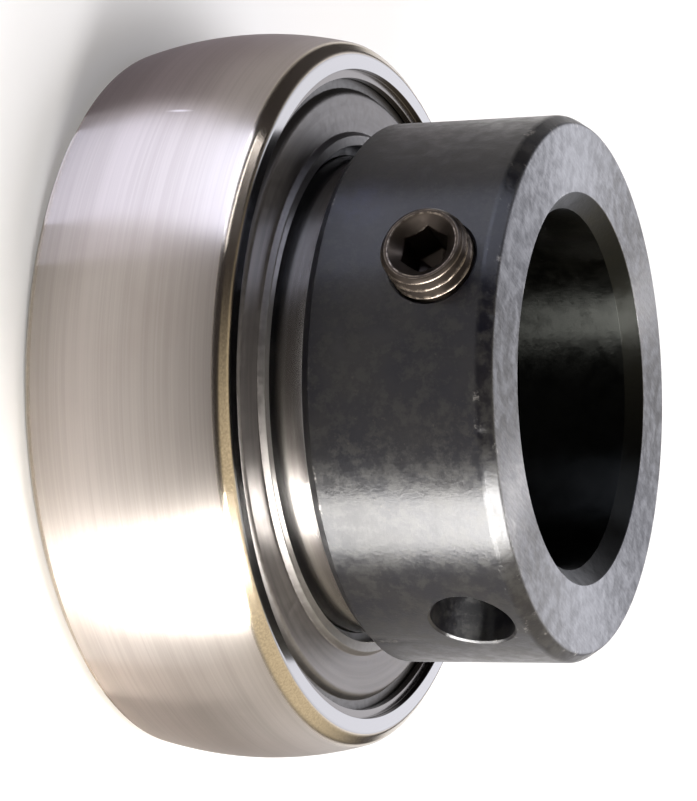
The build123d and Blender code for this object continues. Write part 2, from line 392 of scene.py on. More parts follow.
def round_the_axis(azimuth, radius, height):
    """The point at an azimuth in degrees, a radius and a height."""
    a = math.radians(azimuth)
    return radius * math.cos(a), radius * math.sin(a), height


def radial_frame(azimuth):
    """The way along the tangent, the way up and the way straight out, at an azimuth in degrees."""
    a = math.radians(azimuth)
    return np.array([(-math.sin(a), math.cos(a), 0), (0, 0, 1), (math.cos(a), math.sin(a), 0)])


def spatial(side, rise, out, axes):
    """Points at those places along the tangent, up and straight out."""
    side, rise, out = np.broadcast_arrays(side, rise, out)
    return np.stack([side, rise, out], -1) @ axes


def hole_rings(radius, around, out, axes):
    """Rings round a hole whose middle line is straight out at the screw's height: a point at angle t
    lies radius cos t along the tangent and radius sin t up from that line."""
    return spatial(radius * np.cos(around), screw_z + radius * np.sin(around), out, axes)


def thread(height, angle):
    """How deep a right-hand thread is cut at a height along its screw and an angle round it, from 0 on
    the crest to 1 in the root: a triangle wave of the phase height / pitch - angle / turn, made
    steeper, lowered and cut flat at both ends."""
    steepness, lowered = 1.3, 0.12
    phase = (height / thread_pitch - angle / (2 * math.pi)) % 1
    return np.clip(steepness * (1 - np.abs(2 * phase - 1)) - lowered, 0, 1)


def collar_outline():
    """The collar's section, with rows of its own for the blocks that the holes are cut in. Also gives
    how far each corner's circle lies off the axis, and the first and last corner of the outside's
    block and of the bore's, from the back."""
    def block(radius, rows, start, end):
        heights = np.linspace(start, end, rows + 1)
        return np.stack([np.full(rows + 1, radius), heights], 1)

    back = [
        (recess_r, collar_back, soft),
        (collar_r - collar_back_chamfer, collar_back, soft),
        (collar_r, collar_back + collar_back_chamfer, soft),
    ]
    outside = block(collar_r, outside_rows, screw_z - block_half, screw_z + block_half)
    front = [
        (collar_r, collar_front - collar_front_chamfer, collar_round),
        (collar_r - collar_front_drop, collar_front, collar_round / 2),
        (collar_bore_r + collar_bore_chamfer, collar_front, crisp),
        (collar_bore_r, collar_front - collar_bore_chamfer, crisp),
    ]
    bore = block(collar_bore_r, bore_rows, screw_z + block_half, screw_z - block_half)
    recess = [(collar_bore_r, recess_end, crisp), (recess_r, recess_end, crisp)]
    corners, easing = outline(back, outside, front, bore, recess)
    # The first and the last corner are the eccentric recess's
    offset = np.zeros(len(corners))
    offset[[0, -1]] = eccentric_offset
    outside_start = len(back)
    bore_start = outside_start + len(outside) + len(front)
    outside_block = outside_start, outside_start + outside_rows
    bore_block = bore_start + bore_rows, bore_start
    return corners, easing, offset, outside_block, bore_block


def block_border(numbers, low_row, high_row, azimuth, half):
    """The numbers round a block of the turned grid, from its low left corner and anticlockwise as seen
    from outside, and a mask of the grid's faces without the block."""
    column = azimuth * round_steps // 360 % round_steps
    step = 1 if high_row > low_row else -1
    left, right = column - half, column + half
    rise, run = np.arange(low_row, high_row, step), np.arange(left, right)
    low, high = np.full(run.size, low_row), np.full(run.size, high_row)
    rows = np.concatenate([low, rise, high, rise[::-1] + step])
    columns = np.concatenate([run, np.full(rise.size, right), run[::-1] + 1, np.full(rise.size, left)])
    keep = np.ones(numbers.shape, bool)
    keep[min(low_row, high_row):max(low_row, high_row), run % round_steps] = False
    return numbers[rows, columns % round_steps], keep


def hole_angles(count):
    """The angles of a hole's columns, which start at the low left corner of its block."""
    low_left = math.radians(-135)
    return low_left + 2 * math.pi * np.arange(count) / count


def patch(border, circle_r, around, cylinder_r, axes):
    """Rings on a cylinder between a block's border and the circle round a hole. Along the tangent and
    up, each ring is that share of the way from the border to the circle, and it stands at
    sqrt(R^2 - s^2) straight out, where s is its place along the tangent."""
    share = np.linspace(0, 1, patch_rings + 2)[1:-1, None]
    side = (1 - share) * (border @ axes[0]) + share * circle_r * np.cos(around)
    rise = (1 - share) * border[:, 2] + share * (screw_z + circle_r * np.sin(around))
    return spatial(side, rise, np.sqrt(cylinder_r**2 - side**2), axes)


def mouth(hole_r, edge):
    """Radius, depth and wear of the rings over a hole's bevelled mouth, from the outside inwards. They
    are the two eased corners of the bevel in a section whose other corners lie well away."""
    away, deep = hole_r + 4 * edge, -6 * edge
    corners, easing = outline([
        (away, 0, 0),
        (hole_r + edge, 0, crisp),
        (hole_r, -edge, crisp),
        (hole_r, deep, 0),
        (away, deep, 0),
    ])
    points, _, raised, source = eased(corners, easing)
    bevel = (source == 1) | (source == 2)
    return points[bevel][1:, :1], points[bevel][1:, 1:], raised[bevel][1:, None]


def cut_hole(numbers, points, block, azimuth, hole_r, edge):
    """The first rings of a hole: from the border of its block, over the collar's outside, down to the
    foot of its bevel. Gives the numbers of the border, the rings, their wear and the mask of the
    grid's faces without the block."""
    axes = radial_frame(azimuth)
    border, keep = block_border(numbers, *block, azimuth, outside_columns)
    around = hole_angles(border.size)
    radius, depth, raised = mouth(hole_r, edge)
    level = patch(points[border], radius[0], around, collar_r, axes)
    out = np.sqrt(collar_r**2 - (radius * np.cos(around))**2) + depth
    rings = np.concatenate([level, hole_rings(radius, around, out, axes)])
    worn = np.concatenate([np.zeros((len(level), 1)), raised]) * np.ones(border.size)
    return border, rings, worn, keep


def add_strip(skin, points, border, rings, worn, last=None):
    """Adds a strip of rings that starts at a border in the grid and may end at another one."""
    first, last = [border[None]], [] if last is None else [last[None]]
    whole = np.concatenate([points[row] for row in first] + [rings] + [points[row] for row in last])
    facing = strip_facing(whole)
    numbers = skin.add(rings, facing[1:1 + len(rings)], worn)
    skin.join(np.concatenate(first + [numbers] + last))
    return numbers


def tapped_wall(top, around, axes):
    """Rings down the tapped hole, from the foot of its bevel to the bore. The wall's radius is the
    hole's, plus the thread's depth, which fades out over a short way at both ends."""
    fading_part = 1 / 12
    bottom = np.sqrt(collar_bore_r**2 - (screw_hole_r * np.cos(around))**2) + crisp
    share = np.linspace(0, 1, tapped_turns * thread_steps)[1:, None]
    out = top + (bottom - top) * share
    fade = np.clip(np.minimum(share, 1 - share) / fading_part, 0, 1)
    radius = screw_hole_r + tapped_depth * thread(out, around) * fade
    return hole_rings(radius, around, out, axes)


def tapped_hole(skin, numbers, points, outside, bore):
    """The set screw's hole, right through to the bore. Gives the mask of the grid's faces that stay."""
    border, rings, worn, keep_outside = cut_hole(
        numbers, points, outside, screw_azimuth, screw_hole_r, screw_hole_edge)
    axes = radial_frame(screw_azimuth)
    around = hole_angles(border.size)
    wall = tapped_wall(rings[-1] @ axes[2], around, axes)
    bore_border, keep_bore = block_border(numbers, *bore, screw_azimuth, bore_columns)
    inward = patch(points[bore_border], screw_hole_r + crisp, around, collar_bore_r, axes)[::-1]
    inside = np.concatenate([wall, inward])
    worn = np.concatenate([worn, np.zeros(inside.shape[:2])])
    add_strip(skin, points, border, np.concatenate([rings, inside]), worn, bore_border)
    return keep_outside & keep_bore


def drift_hole(skin, numbers, points, outside):
    """The blind drilled hole, whose foot is a cone. Gives the mask of the grid's faces that stay."""
    border, rings, worn, keep = cut_hole(numbers, points, outside, drift_azimuth, drift_r, drift_edge)
    axes = radial_frame(drift_azimuth)
    around = hole_angles(border.size)
    top, foot = rings[-1] @ axes[2], collar_r - drift_depth
    share = np.linspace(0, 1, drift_rings + 1)[1:, None]
    wall = hole_rings(drift_r, around, top + (foot - top) * share, axes)
    share = np.array([0.03, 0.25, 0.5, 0.75, 0.98])[:, None]
    cone = hole_rings(drift_r * (1 - share), around, foot - drift_point * share, axes)
    inside = np.concatenate([wall, cone])
    worn = np.concatenate([worn, np.zeros(inside.shape[:2])])
    strip = add_strip(skin, points, border, np.concatenate([rings, inside]), worn)
    tip = spatial(0.0, screw_z, foot - drift_point, axes)
    skin.close(strip[-1], skin.add(tip[None], axes[2][None], 0.0)[0])
    return keep


# Azimuth and radius, height, width and depth of the knocks on the collar's edges
collar_dents = [
    (-78.5, collar_r - 0.5 * MM, collar_front - 0.1 * MM, 0.3 * MM, 0.08 * MM),
    (-54.5, collar_r, collar_front - 0.7 * MM, 0.35 * MM, 0.08 * MM),
    (-26, collar_r, collar_back + 1.7 * MM, 0.4 * MM, 0.05 * MM),
    (0, collar_r, collar_back + 0.7 * MM, 0.5 * MM, 0.1 * MM),
]


def dented(place, facing, wear, azimuth, radius, height, width, depth):
    """Presses a dent in: the surface goes down along its normal by depth exp(-(d / width)^2), where d
    is the distance from the dent's middle, and its normal tilts by that slope. It is worn bright."""
    away = place - np.array(round_the_axis(azimuth, radius, height))
    press = np.exp(-np.sum(away**2, -1, keepdims=True) / width**2)
    tilted = unit(facing - 2 * depth / width**2 * press * away)
    return place - facing * press * depth, tilted, np.maximum(wear, press[..., 0])


def locking_collar(material):
    """The collar: turned, with an eccentric recess, knocks on its edges, a tapped hole right through
    to the bore and a blind drilled hole."""
    corners, easing, offset, outside_block, bore_block = collar_outline()
    # The rows of the grid that the blocks' corners became
    source = eased(corners, easing)[3]
    outside = [int(np.argmax(source == corner)) for corner in outside_block]
    bore = [int(np.argmax(source == corner)) for corner in bore_block]
    place, facing, wear = turned(corners, easing, offset)
    for dent in collar_dents:
        place, facing, wear = dented(place, facing, wear, *dent)
    skin = Skin()
    numbers = skin.add(place, facing, wear)
    points = place.reshape(-1, 3)
    keep = tapped_hole(skin, numbers, points, outside, bore)
    keep = keep & drift_hole(skin, numbers, points, outside)
    skin.join(np.concatenate([numbers, numbers[:1]]), keep)
    skin.piece("locking_collar", material, "collar", "collar_oxide")


# The set screw

# Shares of the cup's radius and of its depth, from its middle to its rim
cup_curve = np.array([(0.05, 1), (0.44, 1), (0.5, 0.97), (0.97, 0.05), (1.04, 0)])

# Depths in the socket, close together where its round mouth runs out on the hexagon
mouth_depths = [0, 0.02, 0.15, 0.4, 0.62, 0.66, 0.7, 0.75, 0.8, 0.86, 0.92]
socket_depths = np.array(mouth_depths + [1.6, 2.5, 3.5])[:, None] * MM

# Shares of the hexagon's width in the cone at the socket's foot
socket_foot = np.linspace(0.9, 0.1, 4)[:, None]


def set_screw(material):
    """The set screw: a cup point, a right-hand thread, and a hexagon socket with a bevelled mouth. A
    hexagon's radius at angle t is half its width divided by cos(t from the middle of a flat). The
    bands run from the cup's middle over the rim, the thread and the end face to the socket's foot, and
    each has its radius, its place straight out and its wear."""
    around = 2 * math.pi * np.arange(screw_columns) / screw_columns
    axes = radial_frame(screw_azimuth)
    sector = math.pi / 3
    hexagon = hex_half / np.cos(around % sector - sector / 2)
    thread_rings = round((screw_end - screw_tip) / thread_pitch * thread_steps) + 1
    out = np.linspace(screw_tip, screw_end, thread_rings)[:, None]
    room = np.minimum(out - screw_tip, screw_end - out)
    cut = thread(out, around) * np.clip((room - thread_start) / thread_run_in, 0, 1)
    radius = np.minimum(screw_r - thread_depth * cut, screw_r - screw_edge + room)
    crest = (1 - cut) * (radius > screw_r - thread_crest)
    rim_r = screw_r - screw_edge
    socket_r = np.maximum(hex_mouth_r - socket_depths, hexagon)
    socket_r[0] += crisp
    foot_out = screw_end - hex_depth - (1 - socket_foot) * hex_point
    bands = [
        (cup_curve[:, :1] * cup_r, screw_tip + cup_curve[:, 1:] * cup_depth, 0.0),
        (rim_r - crisp, screw_tip, 0.5),
        (radius, out, crest),
        (rim_r - crisp, screw_end, 1.0),
        (rim_r - soft, screw_end, 0.0),
        (hex_mouth_r + soft, screw_end, 0.0),
        (socket_r, screw_end - socket_depths, socket_depths < hex_mouth_worn),
        (socket_foot * hexagon, foot_out, 0.0),
    ]
    steady = np.ones((1, screw_columns))
    bands = [np.stack(np.broadcast_arrays(*band, steady)[:3]) for band in bands]
    radius, out, worn = np.concatenate(bands, 1)
    rings = hole_rings(radius, around, out, axes)
    skin = Skin()
    numbers = skin.add(rings, strip_facing(rings), worn)
    skin.join(numbers)
    inner_tip = spatial(0.0, screw_z, screw_tip + cup_depth, axes)
    outer_tip = spatial(0.0, screw_z, screw_end - hex_depth - hex_point, axes)
    skin.close(numbers[-1], skin.add(outer_tip[None], axes[2][None], 0.0)[0])
    skin.close(numbers[0][::-1], skin.add(inner_tip[None], -axes[2][None], 0.0)[0])
    skin.piece("set_screw", material, "screw", "screw_oxide")


# Finishes. Colours are linear.

# The sockets of a mix node that take and give colours
mix_first, mix_second, mixed_colour = 6, 7, 2


class Nodes:
    """A tree of nodes, which are added one by one."""

    def __init__(self, tree):
        self.nodes, self.links = tree.nodes, tree.links

    def node(self, kind, inputs=None, **settings):
        """Adds a node. Its inputs are numbers, tuples or other nodes' outputs."""
        node = self.nodes.new(kind)
        for name, value in settings.items():
            setattr(node, name, value)
        for socket, value in (inputs or {}).items():
            if isinstance(value, bpy.types.NodeSocket):
                self.links.new(value, node.inputs[socket])
            else:
                node.inputs[socket].default_value = value
        return node

    def sum(self, operation, first, second=0.0, third=0.0):
        """One step of arithmetic."""
        return self.node("ShaderNodeMath", {0: first, 1: second, 2: third}, operation=operation).outputs[0]

    def vector(self, operation, first, second=(0, 0, 0)):
        """One step of arithmetic with vectors. A length or a dot product gives a number."""
        node = self.node("ShaderNodeVectorMath", {0: first, 1: second}, operation=operation)
        return node.outputs["Value" if operation in ("LENGTH", "DOT_PRODUCT") else "Vector"]

    def between(self, value, low, high, start=0.0, end=1.0):
        """value from low to high, carried smoothly to start to end, and held there outside."""
        inputs = {"Value": value, "From Min": low, "From Max": high, "To Min": start, "To Max": end}
        return self.node("ShaderNodeMapRange", inputs, interpolation_type="SMOOTHSTEP").outputs["Result"]

    def blend(self, share, first, second):
        """A colour that goes from first to second with the share."""
        inputs = {0: share}
        for socket, colour in ((mix_first, first), (mix_second, second)):
            inputs[socket] = (*colour, 1) if isinstance(colour, tuple) else colour
        return self.node("ShaderNodeMix", inputs, data_type="RGBA").outputs[mixed_colour]


class Finish(Nodes):
    """A material while its nodes are added one by one. Its colour, metal and roughness are plain, and
    stay so where no pattern takes their place."""

    def __init__(self, name, colour, metallic, roughness, settings=None):
        self.material = bpy.data.materials.new(name)
        self.material.use_nodes = True
        super().__init__(self.material.node_tree)
        self.shader = self.nodes["Principled BSDF"]
        self.place = self.node("ShaderNodeTexCoord").outputs["Object"]
        plain = {"Base Color": colour, "Metallic": metallic, "Roughness": roughness}
        for socket, value in (plain | (settings or {})).items():
            self.set(socket, value)

    def set(self, socket, value):
        """Sets a socket of the shader, or links it."""
        if isinstance(value, bpy.types.NodeSocket):
            self.links.new(value, self.shader.inputs[socket])
        elif isinstance(value, tuple):
            self.shader.inputs[socket].default_value = (*value, 1)
        else:
            self.shader.inputs[socket].default_value = value

    def wear(self):
        """How far edges, crests and knocks stand out, which each finished mesh carries."""
        return self.node("ShaderNodeAttribute", attribute_name="wear").outputs["Fac"]

    def height(self):
        """The height over the back face."""
        return self.node("ShaderNodeSeparateXYZ", {0: self.place}).outputs["Z"]

    def level(self):
        """The place without its height: the way straight out from the axis."""
        return self.vector("MULTIPLY", self.place, (1, 1, 0))

    def radius(self):
        """The distance from the axis."""
        return self.vector("LENGTH", self.level())

    def near(self, point, reach, stretch=(1, 1, 1)):
        """1 at a point, and 0 from that far away on. The distance counts that much along the axes."""
        away = self.vector("MULTIPLY", self.vector("SUBTRACT", self.place, point), stretch)
        return self.between(self.vector("LENGTH", away), 0.0, reach, 1.0, 0.0)

    def noise(self, scale, detail=3.0, stretch=(1, 1, 1), roughness=0.5):
        """Noise with that many spots a metre, stretched along the axes."""
        place = self.node("ShaderNodeMapping", {"Vector": self.place, "Scale": stretch}).outputs["Vector"]
        inputs = {"Vector": place, "Scale": scale, "Detail": detail, "Roughness": roughness}
        return self.node("ShaderNodeTexNoise", inputs).outputs["Fac"]

    def tool_lines(self, fine, sweep):
        """Noise that runs round the axis, as turning and grinding marks do: it changes with the radius
        and the height, fine times a metre, and slowly with the azimuth, sweep times a turn."""
        way = self.vector("MULTIPLY", self.vector("NORMALIZE", self.level()), (sweep, sweep, 0))
        up = self.vector("MULTIPLY", self.place, (0, 0, fine))
        outward = self.sum("MULTIPLY", self.radius(), fine)
        inputs = {"Vector": self.vector("ADD", way, up), "W": outward, "Scale": 1.0, "Detail": 3.0}
        return self.node("ShaderNodeTexNoise", inputs, noise_dimensions="4D").outputs["Fac"]

    def bump(self, height, distance, strength, under=None):
        """Bumps of that depth in metres, on top of those under them."""
        inputs = {"Height": height, "Distance": distance, "Strength": strength}
        if under is not None:
            inputs["Normal"] = under
        return self.node("ShaderNodeBump", inputs).outputs["Normal"]

    def grain_round_the_axis(self, amount):
        """Grinding runs round the axis, so the gloss is drawn out across it."""
        tangent = self.node("ShaderNodeTangent", direction_type="RADIAL", axis="Z").outputs[0]
        self.set("Tangent", tangent)
        self.set("Anisotropic", amount)
        self.set("Anisotropic Rotation", 0.25)


# Where the ring's outside is scratched
scratch_place = round_the_axis(-111, sphere_r, 8.7 * MM)


def ring_steel():
    """Ground bearing steel of the outer ring, with fine lines round it, cloudy patches, grainy straw
    corners, polished sides, painted shade over the recessed seal seats and one scratch."""
    ground_dark, ground_pale = (0.39, 0.353, 0.322), (0.45, 0.408, 0.376)
    straw_dark, straw_pale = (0.37, 0.315, 0.245), (0.5, 0.435, 0.345)
    cloud_brown, side_grey = (0.36, 0.3, 0.27), (0.22, 0.215, 0.212)
    seat_painted_shade, scratch_white = (0.085, 0.075, 0.068), (0.8, 0.78, 0.78)
    finish = Finish("ring_steel", (0.6, 0.57, 0.54), metallic=1.0, roughness=0.3)
    lines = finish.tool_lines(7000, 1.2)
    broad = finish.tool_lines(900, 0.8)
    clouds = finish.noise(90, detail=4.0)
    streaks = finish.sum("MULTIPLY_ADD", broad, 0.5, finish.sum("MULTIPLY", lines, 0.5))
    steel = finish.blend(finish.between(streaks, 0.35, 0.65), ground_dark, ground_pale)
    steel = finish.blend(finish.between(clouds, 0.5, 0.75, start=0, end=0.3), steel, cloud_brown)
    from_middle = finish.sum("ABSOLUTE", finish.sum("SUBTRACT", finish.height(), middle))
    corner_start = middle - outer_corner
    off_ball = finish.between(from_middle, corner_start - outer_round / 2, corner_start + soft)
    on_side = finish.between(from_middle, middle - crisp, middle - crisp / 2)
    grains = finish.between(finish.noise(6500, detail=5.0, roughness=0.65), 0.3, 0.7)
    straw = finish.blend(grains, straw_dark, straw_pale)
    steel = finish.blend(finish.sum("MULTIPLY", off_ball, 0.95), steel, straw)
    steel = finish.blend(on_side, steel, side_grey)
    # Painted shade: the recessed seal seats are darkened where shade falls in them
    in_mouth = finish.between(finish.radius(), mouth_r, mouth_r + crisp, start=1.0, end=0.0)
    over_seat = finish.between(from_middle, seat_z - middle - crisp, seat_z - middle)
    steel = finish.blend(finish.sum("MULTIPLY", in_mouth, over_seat), steel, seat_painted_shade)
    scratch = finish.near(scratch_place, 0.2 * MM, (1, 1, 0.15))
    steel = finish.blend(scratch, steel, scratch_white)
    finish.set("Base Color", steel)
    ball_roughness = finish.between(clouds, 0.3, 0.8, start=0.3, end=0.34)
    corner_roughness = finish.sum("MULTIPLY_ADD", off_ball, -0.15, ball_roughness)
    finish.set("Roughness", finish.sum("MULTIPLY_ADD", on_side, -0.06, corner_roughness))
    finish.set("Normal", finish.bump(lines, 5e-7, 0.5))
    finish.grain_round_the_axis(0.9)
    return finish.material


def race_steel():
    """Ground steel of the inner ring, smoother than the outer ring's, with painted shade in its bore."""
    ground_dark, ground_pale = (0.47, 0.445, 0.43), (0.57, 0.55, 0.53)
    bore_painted_shade = (0.066, 0.07, 0.066)
    finish = Finish("race_steel", (0.6, 0.57, 0.55), metallic=1.0, roughness=0.2)
    lines = finish.tool_lines(4000, 2.0)
    clouds = finish.noise(150, detail=4.0)
    steel = finish.blend(finish.between(lines, 0.3, 0.7), ground_dark, ground_pale)
    # Painted shade: the bore is darkened where shade falls inside the hole
    bore = finish.between(finish.radius(), bore_r + crisp, bore_r + 2 * crisp, start=1.0, end=0.0)
    finish.set("Base Color", finish.blend(bore, steel, bore_painted_shade))
    finish.set("Roughness", finish.between(clouds, 0.3, 0.8, start=0.14, end=0.18))
    finish.set("Normal", finish.bump(lines, 3e-7, 0.5))
    finish.grain_round_the_axis(0.95)
    return finish.material


def ball_steel():
    """Lapped chromium steel, nearly a mirror under a thin film of grease."""
    lapped, greasy = (0.72, 0.7, 0.67), (0.6, 0.54, 0.42)
    finish = Finish("ball_steel", lapped, metallic=1.0, roughness=0.1)
    film = finish.noise(500, detail=4.0)
    greased = finish.between(film, 0.45, 0.7)
    finish.set("Base Color", finish.blend(greased, lapped, greasy))
    finish.set("Roughness", finish.between(film, 0.35, 0.75, start=0.07, end=0.22))
    finish.set("Normal", finish.bump(film, 2e-6, 0.3))
    return finish.material


def cage_steel():
    """Stamped mild steel, with the rolling direction of its strip and greasy patches."""
    strip_dark, strip_pale = (0.4, 0.37, 0.33), (0.62, 0.6, 0.57)
    finish = Finish("cage_steel", (0.5, 0.48, 0.45), metallic=1.0, roughness=0.4)
    rolled = finish.noise(300, detail=4.0, stretch=(1, 12, 6))
    patches = finish.noise(400, detail=3.0)
    finish.set("Base Color", finish.blend(rolled, strip_dark, strip_pale))
    finish.set("Roughness", finish.between(patches, 0.3, 0.7, start=0.3, end=0.5))
    finish.set("Normal", finish.bump(rolled, 4e-6, 0.5))
    return finish.material


def rivet_steel():
    """Headed wire, hammered dull."""
    wire_dark, wire_pale = (0.42, 0.4, 0.36), (0.66, 0.63, 0.58)
    finish = Finish("rivet_steel", (0.55, 0.52, 0.48), metallic=1.0, roughness=0.35)
    hammered = finish.noise(1800, detail=3.0)
    finish.set("Base Color", finish.blend(hammered, wire_dark, wire_pale))
    finish.set("Roughness", finish.between(hammered, 0.3, 0.7, start=0.28, end=0.45))
    finish.set("Normal", finish.bump(hammered, 1e-5, 0.6))
    return finish.material


def shield_steel():
    """Stamped sheet of the seals: satin grey, with the press tool's rings and finer spots, a painted
    highlight on the rib and painted shade in the groove at its edge."""
    satin_dark, satin_pale = (0.075, 0.067, 0.063), (0.115, 0.104, 0.098)
    rib_painted_highlight, groove_painted_shade = (0.115, 0.108, 0.1), (0.05, 0.045, 0.042)
    finish = Finish("shield_steel", (0.12, 0.115, 0.115), metallic=0.6, roughness=0.4)
    rings = finish.tool_lines(2200, 1.5)
    spots = finish.noise(2600, detail=3.0)
    mixed = finish.sum("MULTIPLY_ADD", rings, 0.6, finish.sum("MULTIPLY", spots, 0.4))
    steel = finish.blend(finish.between(mixed, 0.35, 0.65), satin_dark, satin_pale)
    # Painted highlight: the rib's bend is made paler where it catches light
    rib = finish.between(finish.radius(), rib_top_r, rib_foot_r + soft, start=1.0, end=0.0)
    steel = finish.blend(rib, steel, rib_painted_highlight)
    # Painted shade: the groove at the sheet's edge is darkened where it drops into the seat
    groove = finish.between(finish.radius(), shield_disc_r - 0.1 * MM, shield_step_r)
    finish.set("Base Color", finish.blend(groove, steel, groove_painted_shade))
    finish.set("Roughness", finish.between(spots, 0.3, 0.7, start=0.38, end=0.46))
    finish.set("Normal", finish.bump(spots, 2e-6, 0.5))
    return finish.material


def seal_rubber():
    """Nitrile rubber, nearly black, with a faint bloom and a fine moulded grain."""
    rubber_black, bloom_grey = (0.016, 0.016, 0.017), (0.045, 0.044, 0.043)
    finish = Finish("seal_rubber", (0.02, 0.02, 0.021), metallic=0.0, roughness=0.55)
    bloom = finish.noise(700, detail=4.0)
    grain = finish.noise(9000, detail=2.0)
    bloomed = finish.between(bloom, 0.45, 0.75)
    finish.set("Base Color", finish.blend(bloomed, rubber_black, bloom_grey))
    finish.set("Roughness", finish.between(bloom, 0.3, 0.7, start=0.48, end=0.65))
    finish.set("Normal", finish.bump(grain, 8e-6, 0.5))
    return finish.material


# Where the collar has a bluish patch
bluish_spot = round_the_axis(-105, collar_r, collar_back + 2.8 * MM)


def collar_oxide():
    """Black oxide on turned steel: pitted, mottled and bluish in one spot, with faint tool lines, and
    rubbed through to grey metal in spots along its edges and at its knocks. The front face is ground
    and the bore is dark bare metal."""
    oxide_black, oxide_grey = (0.004, 0.004, 0.008), (0.011, 0.01, 0.011)
    mottle_grey, pit_brown = (0.026, 0.025, 0.024), (0.05, 0.043, 0.036)
    bluish_tint, bore_black = (0.022, 0.024, 0.05), (0.013, 0.0135, 0.0125)
    ground_dark, ground_grey = (0.074, 0.074, 0.078), (0.118, 0.117, 0.121)
    ground_pale, bare_grey = (0.125, 0.125, 0.129), (0.4, 0.38, 0.36)
    less_gloss = {"IOR": 1.45}
    finish = Finish("collar_oxide", (0.014, 0.013, 0.014), metallic=0.0, roughness=0.36, settings=less_gloss)
    pits = finish.noise(3200, detail=3.0, roughness=0.6)
    clouds = finish.noise(260, detail=5.0)
    lines = finish.tool_lines(3000, 3.0)
    scuffs = finish.noise(700, detail=6.0, roughness=0.7)
    mottle = finish.noise(900, detail=6.0, roughness=0.7)
    oxide = finish.blend(finish.between(clouds, 0.35, 0.7), oxide_black, oxide_grey)
    oxide = finish.blend(finish.between(mottle, 0.45, 0.62, start=0.0, end=0.8), oxide, mottle_grey)
    oxide = finish.blend(finish.between(pits, 0.62, 0.78, start=0, end=0.5), oxide, pit_brown)
    patchy = finish.between(scuffs, 0.35, 0.65, start=0.2, end=1.0)
    bluish_patch = finish.sum("MULTIPLY", finish.near(bluish_spot, 3.5 * MM), patchy)
    oxide = finish.blend(bluish_patch, oxide, bluish_tint)
    mouth_edge = collar_bore_r + collar_bore_chamfer
    bored = finish.between(finish.radius(), mouth_edge, mouth_edge + crisp, start=1.0, end=0.0)
    oxide = finish.blend(bored, oxide, bore_black)
    brushed = finish.noise(900, detail=6.0, stretch=(6, 1, 1), roughness=0.7)
    broad = finish.noise(90, detail=2.0)
    ground = finish.blend(finish.between(brushed, 0.4, 0.62), ground_dark, ground_grey)
    ground = finish.blend(finish.between(broad, 0.4, 0.65, start=0.0, end=0.5), ground, ground_pale)
    faced = finish.between(finish.height(), collar_front - crisp, collar_front - crisp / 2)
    oxide = finish.blend(faced, oxide, ground)
    rubbed = finish.sum("MULTIPLY", finish.wear(), finish.between(scuffs, 0.56, 0.74))
    rubbed = finish.sum("MULTIPLY", rubbed, finish.sum("SUBTRACT", 1.0, bored))
    finish.set("Base Color", finish.blend(rubbed, oxide, bare_grey))
    bare = finish.sum("MAXIMUM", finish.sum("MULTIPLY", rubbed, 0.9), finish.sum("MULTIPLY", faced, 0.85))
    bare = finish.sum("MAXIMUM", bare, bored)
    finish.set("Metallic", bare)
    finish.set("Roughness", finish.between(mottle, 0.35, 0.65, start=0.29, end=0.42))
    under = finish.bump(lines, 2e-6, 0.5)
    finish.set("Normal", finish.bump(pits, 2e-5, 0.5, under))
    finish.grain_round_the_axis(0.95)
    return finish.material


def screw_oxide():
    """Dark bronze oxide on the set screw, worn to bright steel on its crests and at its mouth."""
    bronze_dark, bronze_pale = (0.018, 0.014, 0.012), (0.06, 0.045, 0.034)
    rubbed_steel = (0.22, 0.185, 0.15)
    finish = Finish("screw_oxide", (0.05, 0.04, 0.03), metallic=0.5, roughness=0.34)
    clouds = finish.noise(900, detail=4.0)
    scuffs = finish.noise(2500, detail=4.0, roughness=0.7)
    oxide = finish.blend(clouds, bronze_dark, bronze_pale)
    worn = finish.between(finish.wear(), 0.5, 1.0)
    rubbed = finish.sum("MULTIPLY", worn, finish.between(scuffs, 0.4, 0.62, start=0.0, end=0.9))
    finish.set("Base Color", finish.blend(rubbed, oxide, rubbed_steel))
    finish.set("Metallic", finish.between(rubbed, 0, 1, start=0.7, end=1.0))
    finish.set("Roughness", finish.between(clouds, 0.3, 0.75, start=0.28, end=0.4))
    finish.set("Normal", finish.bump(clouds, 6e-6, 0.5))
    return finish.material


# The studio

camera_azimuth = -62.99
camera_elevation = 22.53
camera_turn = 88.74
camera_distance = 242.8 * MM
camera_aim = Vector((-0.52, 2.03, 12.41)) * MM
camera_lens = 151.02

# How far the floor reaches each way, and the share of it that glows for the camera and the metal
floor_half = 1.2
floor_glow = 0.22

# Painted reflections: cards that lie beside the bearing and that only the metal mirrors. The dark, grey and
# pale cards are painted shade on the floor, and the dusk, lilac and dawn cards glow as painted light.
# Corners as (azimuth, millimetres from the axis), colour and glow
painted_reflection_cards = {
    "painted_shadow_card": (
        [(246, 25), (213, 64), (175, 70), (142, 70), (150, 25), (197, 25)], (0.12, 0.105, 0.115), 1.8),
    "painted_dusk_glow_card": ([(250, 25), (217, 64), (213, 64), (246, 25)], (0.45, 0.43, 0.48), 0.9),
    "painted_lilac_glow_card": ([(269, 25), (252, 64), (217, 64), (250, 25)], (0.74, 0.76, 0.92), 1.25),
    "painted_dawn_glow_card": ([(276, 25), (262, 64), (252, 64), (269, 25)], (0.78, 0.78, 0.86), 0.5),
    "painted_pale_reflection_card": ([(-18, 25), (9, 62), (24, 62), (-9, 25)], (0.6, 0.57, 0.55), 0.0),
    "painted_grey_shade_card": ([(-9, 25), (24, 62), (80, 62), (85, 25), (38, 25)], (0.32, 0.3, 0.29), 0.0),
}
card_lift = 0.5 * MM

